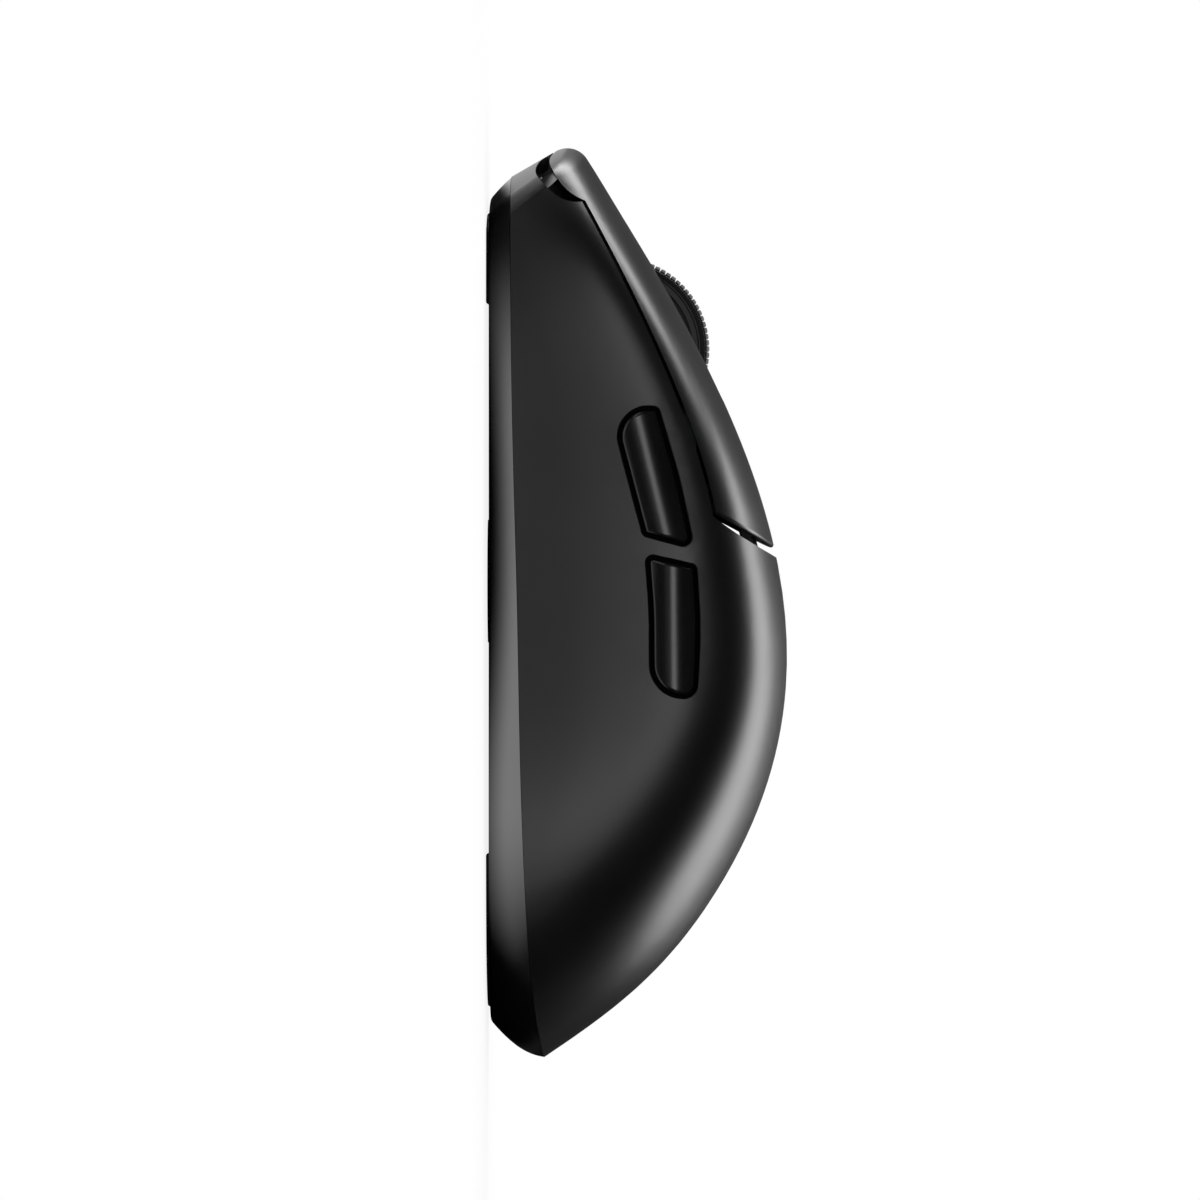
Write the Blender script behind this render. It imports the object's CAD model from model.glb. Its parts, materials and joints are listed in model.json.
# %% [markdown]
# # A wireless mouse, dressed for its portrait
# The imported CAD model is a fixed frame: every piece of the mouse already sits where it
# belongs, in metres, with +Y towards the nose, +Z up and the thumb buttons facing -X.
# This lesson gives each piece its finish, models what is too fine for the CAD, such as
# the studs of the wheel, and sets up a small studio round it.

# %% Load the frame
import json
import math

import bmesh
import bpy
from mathutils import Matrix, Quaternion, Vector


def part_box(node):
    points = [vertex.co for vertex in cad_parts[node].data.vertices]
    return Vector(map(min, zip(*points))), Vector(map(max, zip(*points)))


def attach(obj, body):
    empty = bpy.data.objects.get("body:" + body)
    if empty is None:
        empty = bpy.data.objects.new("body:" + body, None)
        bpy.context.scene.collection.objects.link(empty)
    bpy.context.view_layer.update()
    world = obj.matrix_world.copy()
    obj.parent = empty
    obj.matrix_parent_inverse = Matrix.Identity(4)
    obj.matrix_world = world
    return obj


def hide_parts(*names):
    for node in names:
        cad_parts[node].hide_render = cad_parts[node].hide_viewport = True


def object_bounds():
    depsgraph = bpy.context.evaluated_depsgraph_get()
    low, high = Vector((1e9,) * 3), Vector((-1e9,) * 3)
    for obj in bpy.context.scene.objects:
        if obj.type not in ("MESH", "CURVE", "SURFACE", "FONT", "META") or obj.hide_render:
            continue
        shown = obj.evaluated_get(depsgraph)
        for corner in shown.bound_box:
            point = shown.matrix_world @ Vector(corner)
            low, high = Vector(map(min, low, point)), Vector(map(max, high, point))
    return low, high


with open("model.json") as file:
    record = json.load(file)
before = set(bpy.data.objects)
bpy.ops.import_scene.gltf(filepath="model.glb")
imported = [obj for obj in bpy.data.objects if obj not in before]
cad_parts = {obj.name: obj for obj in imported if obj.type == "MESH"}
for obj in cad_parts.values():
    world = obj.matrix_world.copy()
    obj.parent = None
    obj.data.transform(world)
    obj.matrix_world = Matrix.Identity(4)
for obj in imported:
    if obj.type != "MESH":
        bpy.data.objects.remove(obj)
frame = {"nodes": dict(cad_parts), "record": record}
cad_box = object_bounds()
nodes = frame["nodes"]
MM = 0.001

# %% [markdown]
# ## Camera
# The picture is a plain side view of the left side with the nose pointing up, taken from
# so far away that nothing shrinks with distance. A long lens at 1.335 m gives a frame
# 160 mm wide at the mouse. The camera lies on its side: picture right is up (+Z).

# %% Camera
CAMERA_AWAY = 1.335
PICTURE_CENTRE_Y = 0.00047
PICTURE_CENTRE_Z = 0.01495
camera_data = bpy.data.cameras.new("camera")
camera_data.lens = 300
camera_data.sensor_width = 36
camera_data.clip_end = 10
camera = bpy.data.objects.new("camera", camera_data)
bpy.context.scene.collection.objects.link(camera)
camera.matrix_world = Matrix(((0, 0, -1, -CAMERA_AWAY), (0, 1, 0, PICTURE_CENTRE_Y),
                              (1, 0, 0, PICTURE_CENTRE_Z), (0, 0, 0, 1)))
bpy.context.scene.camera = camera
print("camera at", [round(v, 4) for v in camera.location], "with a", camera_data.lens, "mm lens")

# %% [markdown]
# ## A workbench for nodes
# A helper starts a material with the Principled shader and sets the plain numbers on the
# shader's own sockets. The next ones add a node, link two sockets and do one sum, and
# serve the materials and the world alike.

# %% Node helpers
def new_material(name, colour, roughness, metallic=0.0, specular=0.5):
    material = bpy.data.materials.new(name)
    material.use_nodes = True
    shader = shader_of(material)
    shader.inputs["Base Color"].default_value = (*colour, 1)
    shader.inputs["Roughness"].default_value = roughness
    shader.inputs["Metallic"].default_value = metallic
    shader.inputs["Specular IOR Level"].default_value = specular
    return material, shader


def shader_of(material):
    return material.node_tree.nodes["Principled BSDF"]


def node(owner, kind, **inputs):
    made = owner.node_tree.nodes.new(kind)
    for name, value in inputs.items():
        made.inputs[name.replace("_", " ")].default_value = value
    return made


def link(owner, a, b):
    owner.node_tree.links.new(a, b)


def calculate(owner, operation, a, b):
    made = node(owner, "ShaderNodeMath")
    made.operation = operation
    for socket, value in zip(made.inputs, (a, b)):
        if isinstance(value, (int, float)):
            socket.default_value = value
        else:
            link(owner, value, socket)
    return made.outputs[0]


print("node helpers ready")

# %% [markdown]
# ## Ramps and noises
# A spread turns one range of numbers into another, and a fade does so with soft ends. The
# noise reads the object's own coordinates, so a grain has a real size in millimetres and
# moves with the piece. The last three put a number, a tint or a bump on a shader.

# %% Surface helpers
def spread(owner, value, span, levels):
    ramp = node(owner, "ShaderNodeMapRange", From_Min=span[0], From_Max=span[1],
                To_Min=levels[0], To_Max=levels[1])
    link(owner, value, ramp.inputs["Value"])
    return ramp


def fade(owner, value, span, levels):
    ramp = spread(owner, value, span, levels)
    ramp.interpolation_type = "SMOOTHSTEP"
    return ramp.outputs["Result"]


def object_noise(material, size_mm, detail=2.0, stretch=(1, 1, 1)):
    place = node(material, "ShaderNodeTexCoord")
    mapping = node(material, "ShaderNodeMapping", Scale=stretch)
    noise = node(material, "ShaderNodeTexNoise", Scale=1 / (size_mm * MM), Detail=detail)
    link(material, place.outputs["Object"], mapping.inputs["Vector"])
    link(material, mapping.outputs["Vector"], noise.inputs["Vector"])
    return noise.outputs["Fac"]


def vary(material, fac, socket, low, high):
    link(material, spread(material, fac, (0, 1), (low, high)).outputs["Result"], socket)


def tint(material, fac, shader, dark, light):
    ramp = node(material, "ShaderNodeValToRGB")
    for stop, position, colour in zip(ramp.color_ramp.elements, (0.3, 0.7), (dark, light)):
        stop.position = position
        stop.color = (*colour, 1)
    link(material, fac, ramp.inputs["Fac"])
    link(material, ramp.outputs["Color"], shader.inputs["Base Color"])


def grain(material, fac, shader, depth_mm, strength=1.0):
    bump = node(material, "ShaderNodeBump", Strength=strength, Distance=depth_mm * MM)
    link(material, fac, bump.inputs["Height"])
    link(material, bump.outputs["Normal"], shader.inputs["Normal"])


print("surface helpers ready")

# %% [markdown]
# ## The black plastics
# The casing is moulded in black plastic with a fine satin skin. On the real mouse the
# skin is a spark-eroded texture a few hundredths of a millimetre deep, which blurs
# every reflection without looking rough. Noise 0.12 mm across makes that skin as bump,
# and a wider, fainter noise lets the gloss wander as it does where hands polish it.

# %% Black plastics
WEAR_MM = 14.0


def polish(material, shader, roughness):
    wear = object_noise(material, WEAR_MM, 2.0)
    vary(material, wear, shader.inputs["Roughness"], roughness - 0.02, roughness + 0.03)
    return wear


def moulded_skin(material, shader, skin_mm, depth_mm):
    grain(material, object_noise(material, skin_mm, 3.0), shader, depth_mm, 0.35)


def satin_plastic(name, tone, roughness, skin_mm=0.12, depth_mm=0.004):
    material, shader = new_material(name, (tone, tone, tone * 1.04), roughness)
    tint(material, polish(material, shader, roughness), shader,
         (tone * 0.85, tone * 0.85, tone * 0.89), (tone * 1.15, tone * 1.15, tone * 1.2))
    moulded_skin(material, shader, skin_mm, depth_mm)
    return material


casing_black = satin_plastic("casing_black", 0.005, 0.33)
inner_grey = satin_plastic("inner_grey", 0.03, 0.55, 0.3, 0.01)
switch_black = satin_plastic("switch_black", 0.012, 0.45, 0.3, 0.008)
hub_grey = satin_plastic("hub_grey", 0.01, 0.3)
knob_grey = satin_plastic("knob_grey", 0.05, 0.5, 0.3, 0.01)
foot_slick = satin_plastic("foot_slick", 0.02, 0.42, 0.5, 0.004)
chip_black = satin_plastic("chip_black", 0.01, 0.6, 0.15, 0.01)
plunger_white = satin_plastic("plunger_white", 0.6, 0.45, 0.5, 0.004)
print("plastics ready")

# %% [markdown]
# ## The base
# The base is polished more than the casing: its tucked edge shows the light that spills
# on to the desk as one clear band below the crease. A clear coat gives that second gloss.

# %% Base
base_black = satin_plastic("base_black", 0.005, 0.30)
for socket, number in (("Specular IOR Level", 1.0), ("Coat Weight", 1.0), ("Coat IOR", 1.9),
                       ("Coat Roughness", 0.3)):
    shader_of(base_black).inputs[socket].default_value = number
print("base ready")

# %% [markdown]
# ## The thumb buttons
# The thumb buttons are glossier than the casing, so they draw narrow streaks. Round each
# of them runs a slot that no light gets into. The button's flange closes that slot, and
# would shine there as the button does, so ambient occlusion takes the gloss off it.

# %% Thumb buttons
SLOT_REACH = 1.2 * MM
button_black = satin_plastic("button_black", 0.005, 0.22)
openness = node(button_black, "ShaderNodeAmbientOcclusion", Distance=SLOT_REACH)
gloss = spread(button_black, openness.outputs["AO"], (0.45, 0.85), (0, 0.5))
link(button_black, gloss.outputs["Result"], shader_of(button_black).inputs["Specular IOR Level"])
print("thumb buttons ready")

# %% [markdown]
# ## The tyre's rubber
# The rubber is matt and black on the tyre's sides. The studs on its tread take the light
# and the dust of use, and look grey. The distance from the axle tells the two apart, so
# the rubber stays right however far the wheel has turned.

# %% Tyre rubber
tyre_low, tyre_high = (Vector(corner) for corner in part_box("wheel_tyre"))
axle = (tyre_low + tyre_high) / 2
RUBBER_ROUGHNESS = 0.42
RUBBER_TONES = (0.004, 0.3)
STUD_ROOT_AND_SIDE = (11.92 * MM, 12.1 * MM)
tyre_rubber, shader = new_material("tyre_rubber", (0.05, 0.05, 0.052), RUBBER_ROUGHNESS,
                                   specular=0.12)
polish(tyre_rubber, shader, RUBBER_ROUGHNESS)
moulded_skin(tyre_rubber, shader, 0.2, 0.01)
place = node(tyre_rubber, "ShaderNodeTexCoord")
from_axle = node(tyre_rubber, "ShaderNodeMapping", Location=(0, -axle.y, -axle.z),
                 Scale=(0, 1, 1))
radius = node(tyre_rubber, "ShaderNodeVectorMath")
radius.operation = "LENGTH"
link(tyre_rubber, place.outputs["Object"], from_axle.inputs["Vector"])
link(tyre_rubber, from_axle.outputs["Vector"], radius.inputs[0])
tone = spread(tyre_rubber, radius.outputs["Value"], STUD_ROOT_AND_SIDE, RUBBER_TONES)
link(tyre_rubber, tone.outputs["Result"], shader.inputs["Base Color"])
print("rubber is grey beyond", STUD_ROOT_AND_SIDE[1] / MM, "mm from the axle")

# %% [markdown]
# ## Metals, board, battery and lens
# The rest is mostly inside. Metal has fine lines along its length, the board has faint
# copper traces under green lacquer, the cell's wrap is crinkled, and the lens is clear.

# %% Metals
def brushed_metal(name, tone, roughness):
    material, shader = new_material(name, (tone, tone, tone * 1.01), roughness, 1.0)
    lines = object_noise(material, 0.5, 4.0, (1, 8, 8))
    vary(material, lines, shader.inputs["Roughness"], roughness - 0.08, roughness + 0.1)
    grain(material, lines, shader, 0.01, 0.3)
    return material


steel = brushed_metal("steel", 0.62, 0.28)
dark_steel = brushed_metal("dark_steel", 0.03, 0.5)
socket_metal = brushed_metal("socket_metal", 0.5, 0.32)
print("metals ready")

# %% Board, battery, leads and lens
circuit_board, shader = new_material("circuit_board", (0.01, 0.05, 0.03), 0.35)
traces = object_noise(circuit_board, 3.0, 0.0, (1, 1, 0.2))
tint(circuit_board, traces, shader, (0.006, 0.03, 0.018), (0.014, 0.07, 0.04))
grain(circuit_board, traces, shader, 0.03, 0.4)

battery_wrap, shader = new_material("battery_wrap", (0.4, 0.41, 0.43), 0.3, 0.6)
crinkle = object_noise(battery_wrap, 6.0, 3.0)
grain(battery_wrap, crinkle, shader, 0.15, 0.5)
tint(battery_wrap, crinkle, shader, (0.36, 0.37, 0.39), (0.46, 0.47, 0.5))

lead_red, shader = new_material("lead_red", (0.35, 0.02, 0.02), 0.4)
grain(lead_red, object_noise(lead_red, 0.8, 2.0), shader, 0.02, 0.4)

lens_clear, shader = new_material("lens_clear", (0.9, 0.92, 0.94), 0.08)
shader.inputs["Transmission Weight"].default_value = 1.0
shader.inputs["IOR"].default_value = 1.49
grain(lens_clear, object_noise(lens_clear, 2.0, 1.0), shader, 0.003, 0.2)
print("board, battery, leads and lens ready")

# %% [markdown]
# ## Give each CAD piece its finish
# The record names a finish for each piece, and the materials above carry the same names.
# The base and the hinge pins have finishes of their own.

# %% Assign the finishes
finishes = {"casing_black": casing_black, "button_black": button_black,
            "inner_grey": inner_grey, "tyre_rubber": tyre_rubber, "hub_grey": hub_grey,
            "steel": steel, "socket_metal": socket_metal, "circuit_board": circuit_board,
            "chip_black": chip_black, "switch_black": switch_black,
            "plunger_white": plunger_white, "battery_wrap": battery_wrap,
            "lead_red": lead_red, "lens_clear": lens_clear, "knob_grey": knob_grey,
            "foot_slick": foot_slick}
own_finish = {"base_shell": base_black, "main_button_pins": dark_steel}
finish_of = {part["node"]: part["material_slot"] for part in frame["record"]["subparts"]}
for name, piece in nodes.items():
    for slot in piece.material_slots:
        slot.material = own_finish.get(name, finishes[finish_of[name]])
print("finishes assigned to", len(nodes), "pieces")

# %% [markdown]
# ## Working by hand on a mesh
# Every new piece starts as a primitive and is shaped in edit mode. The helpers below open
# a piece for editing with nothing selected, select what passes a test of place or
# direction, and close it again. All objects are deselected first, because the packed
# pieces come in selected and an operator acts on whatever is selected.

# %% Modelling helpers
HAIR = 0.001 * MM


def open_piece(piece, mode="FACE"):
    bpy.ops.object.select_all(action="DESELECT")
    piece.select_set(True)
    bpy.context.view_layer.objects.active = piece
    bpy.ops.object.mode_set(mode="EDIT")
    bpy.ops.mesh.select_mode(type=mode)
    bpy.ops.mesh.select_all(action="DESELECT")


def pick(piece, kind, test):
    mesh = bmesh.from_edit_mesh(piece.data)
    chosen = [part for part in getattr(mesh, kind) if test(part)]
    for part in chosen:
        part.select_set(True)
    mesh.select_flush_mode()
    bmesh.update_edit_mesh(piece.data)


def close_piece(piece, name, angle=35):
    bpy.ops.mesh.select_all(action="SELECT")
    bpy.ops.mesh.remove_doubles(threshold=2 * HAIR)
    bpy.ops.mesh.normals_make_consistent(inside=False)
    bpy.ops.object.mode_set(mode="OBJECT")
    bpy.ops.object.transform_apply(location=True, rotation=True, scale=True)
    bpy.ops.object.shade_smooth_by_angle(angle=math.radians(angle))
    piece.name = name
    piece.data.name = name


def finish_piece(piece, material, body):
    piece.data.materials.clear()
    piece.data.materials.append(material)
    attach(piece, body)
    print(piece.name, "has", len(piece.data.polygons), "faces and rides on", body)


print("modelling helpers ready")

# %% [markdown]
# ## Rings round the axle
# The tyre and the lips of the hub are both rings with a square section and rounded outer
# edges. A cylinder along X becomes such a ring when its end faces are inset and deleted
# and the two holes that are left are bridged.

# %% Ring helpers
AROUND_X = (0, math.pi / 2, 0)
RING_STEPS = 184


def turned_ring(centre, outer, wall, width):
    bpy.ops.mesh.primitive_cylinder_add(vertices=RING_STEPS, radius=outer, depth=width,
                                        location=centre, rotation=AROUND_X)
    ring = bpy.context.object
    bpy.ops.object.transform_apply(location=True, rotation=True, scale=True)
    open_piece(ring)
    pick(ring, "faces", lambda face: abs(face.normal.x) > 0.9)
    bpy.ops.mesh.inset(thickness=wall)
    bpy.ops.mesh.delete(type="FACE")
    bpy.ops.mesh.select_mode(type="EDGE")
    bpy.ops.mesh.select_all(action="DESELECT")
    pick(ring, "edges", lambda edge: edge.is_boundary)
    bpy.ops.mesh.bridge_edge_loops()
    bpy.ops.mesh.select_all(action="DESELECT")
    return ring


def runs_round(edge):
    return abs(edge.verts[0].co.x - edge.verts[1].co.x) < HAIR


print("ring helpers ready")

# %% [markdown]
# ## The tyre of the scroll wheel
# The finger needs grip, so the real wheel wears a rubber tyre with rows of small studs
# moulded on its tread. The CAD tyre is a plain ring as tall as the studs' tips. Here it is
# replaced by a lower ring with crisp side edges and one stud, copied along the tread and
# round the wheel. The tread is spaced so that a whole number of studs fits the turn.

# %% Tyre ring
hub_low, hub_high = (Vector(corner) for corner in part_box("wheel_hub"))
tip_radius = (tyre_high.y - tyre_low.y) / 2
hub_radius = (hub_high.y - hub_low.y) / 2
STUD_HEIGHT = 0.58 * MM
TREAD_EDGE = 0.16 * MM
tread_radius = tip_radius - STUD_HEIGHT
tyre_width = tyre_high.x - tyre_low.x

tyre = turned_ring(axle, tread_radius, tread_radius - hub_radius, tyre_width)
pick(tyre, "edges", lambda edge: runs_round(edge) and min(
    (corner.co - axle).yz.length for corner in edge.verts) > tread_radius - 0.05 * MM)
bpy.ops.mesh.bevel(offset=TREAD_EDGE, segments=3)
close_piece(tyre, "tyre_ring")
print("tyre ring of", len(tyre.data.polygons), "faces")

# %% One stud
STUDS_ROUND = 92
STUD_ROWS = 8
BARE_TREAD = 0.9 * MM
STUD_EDGE = 0.1 * MM
stud_pitch = (tyre_width - BARE_TREAD) / STUD_ROWS
stud_size = (0.56 * MM, 0.60 * MM, 0.70 * MM)
bpy.ops.mesh.primitive_cube_add(size=1, scale=stud_size, location=(
    axle.x - stud_pitch * (STUD_ROWS - 1) / 2, axle.y, axle.z + tip_radius - stud_size[2] / 2))
stud = bpy.context.object
bpy.ops.object.transform_apply(location=True, rotation=True, scale=True)
open_piece(stud)
pick(stud, "faces", lambda face: face.normal.z > 0.9)
bpy.ops.transform.resize(value=(0.62, 0.58, 1))
bpy.ops.mesh.bevel(offset=STUD_EDGE, segments=2)
bpy.ops.object.mode_set(mode="OBJECT")
print("one stud of", len(stud.data.polygons), "faces")

# %% Studs all round
STAGGER = 0.3
row = stud.modifiers.new("row", "ARRAY")
row.count = STUD_ROWS // 2
row.use_relative_offset = False
row.use_constant_offset = True
row.constant_offset_displace = (2 * stud_pitch, 0, 0)
bpy.ops.object.modifier_apply(modifier="row")
open_piece(stud)
bpy.ops.mesh.select_all(action="SELECT")
bpy.ops.mesh.duplicate()
bpy.ops.transform.translate(value=(stud_pitch, 0, 0))
bpy.ops.transform.rotate(value=STAGGER * math.tau / STUDS_ROUND, orient_axis="X",
                         center_override=axle)
bpy.ops.mesh.select_all(action="SELECT")
bpy.ops.mesh.spin(steps=STUDS_ROUND - 1, dupli=True, center=axle, axis=(1, 0, 0),
                  angle=math.tau * (STUDS_ROUND - 1) / STUDS_ROUND)
close_piece(stud, "tyre_studs", 50)
print("studs:", STUDS_ROUND * STUD_ROWS, "in", len(stud.data.polygons), "faces")

# %% One studded tyre
bpy.ops.object.select_all(action="DESELECT")
stud.select_set(True)
tyre.select_set(True)
bpy.context.view_layer.objects.active = tyre
bpy.ops.object.join()
tyre.name = "studded_tyre"
finish_piece(tyre, tyre_rubber, "wheel")
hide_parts("wheel_tyre")

# %% [markdown]
# ## The polished lips of the hub
# Each side of the hub ends in a thin lip that catches the light as one fine bright line
# inside the tyre. A flat ring with a rounded edge, set just proud of the hub's side,
# gives that line from geometry instead of from paint.

# %% Hub lips
LIP_WIDTH = 0.5 * MM
LIP_WALL = 0.34 * MM
LIP_EDGE = 0.13 * MM
LIP_PROUD = 0.05 * MM


def hub_lip(name, side):
    middle = side * (tyre_width / 2 + LIP_PROUD - LIP_WIDTH / 2)
    lip = turned_ring(axle + Vector((middle, 0, 0)), hub_radius - 0.02 * MM, LIP_WALL,
                      LIP_WIDTH)
    pick(lip, "edges", lambda edge: runs_round(edge) and edge.calc_face_angle(0) > 0.5
         and side * (edge.verts[0].co.x - axle.x) > tyre_width / 2)
    bpy.ops.mesh.bevel(offset=LIP_EDGE, segments=3)
    close_piece(lip, name)
    finish_piece(lip, hub_grey, "wheel")


hub_lip("hub_lip_left", -1)
hub_lip("hub_lip_right", 1)

# %% [markdown]
# ## The floor
# A pale floor lies a hair under the feet. It could be a plain white sheet, but then the
# glossy base would mirror all of it. In a real studio the mouse shades the paper next to
# it, and only the paper beside its middle and in front of its nose is bright.

# %% Floor
FLOOR_RADIUS = 3
FLOOR_DROP = 0.05 * MM
bpy.ops.object.select_all(action="DESELECT")
bpy.ops.mesh.primitive_circle_add(vertices=128, radius=FLOOR_RADIUS, fill_type="NGON",
                                  location=(0, 0, -FLOOR_DROP))
floor = bpy.context.object
floor.name = "floor"
print("floor", 2 * FLOOR_RADIUS, "m across")

# %% [markdown]
# ## Where the paper is bright
# An oval about as wide as the mouse and twice as long measures how far a point of the
# paper is from the mouse: 1 is the oval itself. The paper that the plastic mirrors goes
# from dark under the mouse to white just outside the oval, and fades further out, along
# the tail and along the nose. A second patch is white ahead of the nose.

# %% Bright paper
floor_paper, shader = new_material("floor_paper", (0.8, 0.8, 0.8), 0.9)
OVAL_HALF_WIDTH = cad_box[1][0] / 1.05
OVAL_HALF_LENGTH = cad_box[1][1] / 0.5
place = node(floor_paper, "ShaderNodeTexCoord")
oval = node(floor_paper, "ShaderNodeMapping", Location=(0, -0.05, 0),
            Scale=(1 / OVAL_HALF_WIDTH, 1 / OVAL_HALF_LENGTH, 0))
distance = node(floor_paper, "ShaderNodeVectorMath")
distance.operation = "LENGTH"
along = node(floor_paper, "ShaderNodeSeparateXYZ")
link(floor_paper, place.outputs["Object"], oval.inputs["Vector"])
link(floor_paper, place.outputs["Object"], along.inputs[0])
link(floor_paper, oval.outputs["Vector"], distance.inputs[0])
away = distance.outputs["Value"]
ring = calculate(floor_paper, "MULTIPLY", fade(floor_paper, away, (0.88, 1.05), (0, 1)),
                 fade(floor_paper, away, (1.3, 2.4), (1, 0.02)))
from_middle = calculate(floor_paper, "ABSOLUTE", calculate(
    floor_paper, "ADD", along.outputs["Y"], 0.002), 0)
beside = calculate(floor_paper, "MULTIPLY", ring,
                   fade(floor_paper, from_middle, (0.024, 0.052), (1, 0.02)))
ahead = fade(floor_paper, along.outputs["Y"], (0.056, 0.062), (0, 1))
bright = calculate(floor_paper, "MAXIMUM", beside, ahead)
print("bright paper beside an oval", round(2 * OVAL_HALF_WIDTH, 3), "m wide")

# %% [markdown]
# ## Paper to the camera, light to the plastic
# The camera sees white that is partly real paper near the mouse, which keeps its shadow.
# Glossy rays see the bright patches alone. The back of the floor lets a camera below it
# look up at the base.

# %% Floor paper
path = node(floor_paper, "ShaderNodeLightPath")
camera_ray, glossy_ray = path.outputs["Is Camera Ray"], path.outputs["Is Glossy Ray"]
whiteness = calculate(floor_paper, "MULTIPLY", camera_ray,
                      fade(floor_paper, away, (1.5, 7), (0.86, 1)))
white = node(floor_paper, "ShaderNodeEmission")
link(floor_paper, calculate(floor_paper, "ADD", camera_ray, calculate(
    floor_paper, "MULTIPLY", glossy_ray, bright)), white.inputs["Strength"])
top = node(floor_paper, "ShaderNodeMixShader")
link(floor_paper, calculate(floor_paper, "MAXIMUM", whiteness, glossy_ray), top.inputs["Fac"])
link(floor_paper, shader.outputs[0], top.inputs[1])
link(floor_paper, white.outputs[0], top.inputs[2])
face = node(floor_paper, "ShaderNodeNewGeometry")
clear_back = node(floor_paper, "ShaderNodeBsdfTransparent")
one_sided = node(floor_paper, "ShaderNodeMixShader")
link(floor_paper, face.outputs["Backfacing"], one_sided.inputs["Fac"])
link(floor_paper, top.outputs[0], one_sided.inputs[1])
link(floor_paper, clear_back.outputs[0], one_sided.inputs[2])
link(floor_paper, one_sided.outputs[0],
     floor_paper.node_tree.nodes["Material Output"].inputs["Surface"])
floor.data.materials.append(floor_paper)
print("floor ready")

# %% [markdown]
# ## The world
# The backdrop is white to the camera. Metal, glass and plastic mirror a faint strip of
# that same white along the horizon, and above the strip the dark ceiling of the studio,
# which is what draws the black bands on the casing. Rays that spread from a matt surface
# meet a soft even fill instead, so that a colour renders about as it is written.

# %% World
FILL = 0.35
CEILING = 0.02
STRIP = 0.12
STRIP_HEIGHTS = (0.02, 0.14)
world = bpy.data.worlds.new("studio")
bpy.context.scene.world = world
world.use_nodes = True
ceiling = world.node_tree.nodes["Background"]
ceiling.inputs["Color"].default_value = (1, 1, 1, 1)
backdrop = node(world, "ShaderNodeBackground", Color=(1, 1, 1, 1), Strength=1.0)
direction = node(world, "ShaderNodeTexCoord")
height = node(world, "ShaderNodeSeparateXYZ")
path = node(world, "ShaderNodeLightPath")
soft_fill = calculate(world, "MULTIPLY", path.outputs["Is Diffuse Ray"], FILL)
link(world, calculate(world, "ADD", soft_fill, CEILING), ceiling.inputs["Strength"])
link(world, direction.outputs["Generated"], height.inputs[0])
strip = fade(world, height.outputs["Z"], STRIP_HEIGHTS, (STRIP, 0))
bent = calculate(world, "MAXIMUM", path.outputs["Is Glossy Ray"],
                 path.outputs["Is Transmission Ray"])
shown = calculate(world, "MAXIMUM", path.outputs["Is Camera Ray"],
                  calculate(world, "MULTIPLY", bent, strip))
mix = node(world, "ShaderNodeMixShader")
link(world, shown, mix.inputs["Fac"])
link(world, ceiling.outputs[0], mix.inputs[1])
link(world, backdrop.outputs[0], mix.inputs[2])
link(world, mix.outputs[0], world.node_tree.nodes["World Output"].inputs["Surface"])
print("world ready")

# %% [markdown]
# ## Softboxes
# Each softbox is placed by its direction from the mouse: round the mouse from +X towards
# the nose, and up from the floor. The crown softbox stands behind the mouse as the camera
# sees it, a little aslant, and draws the long highlight just inside the outline. The nose
# softbox faces the front, the edge softbox above it lights the shoulder of the main
# button, and a weak low one gives the side wall its soft gradient.

# %% Lights
SOFTBOX_REACH = 1.2


def softbox(name, around, up, size, power, roll=0):
    data = bpy.data.lights.new(name, "AREA")
    data.shape = "RECTANGLE"
    data.size, data.size_y = size
    data.energy = power
    light = bpy.data.objects.new(name, data)
    bpy.context.scene.collection.objects.link(light)
    around, up = math.radians(around), math.radians(up)
    towards = Vector((math.cos(up) * math.cos(around), math.cos(up) * math.sin(around),
                      math.sin(up)))
    light.location = towards * SOFTBOX_REACH
    turned = towards.to_track_quat("Z", "Y") @ Quaternion((0, 0, 1), math.radians(roll))
    light.rotation_euler = turned.to_euler()
    print(name, "at", [round(v, 2) for v in light.location])


softbox("crown_softbox", -14, 48, (1.1, 0.46), 7.5, roll=20)
softbox("nose_softbox", 57, 18, (0.55, 0.7), 10.0)
softbox("edge_softbox", 58, 47, (0.4, 0.5), 5.0)
softbox("side_softbox", 180, 18, (0.95, 0.22), 2.5, roll=-24)

# %% Finish
bpy.context.scene.view_settings.view_transform = "Standard"
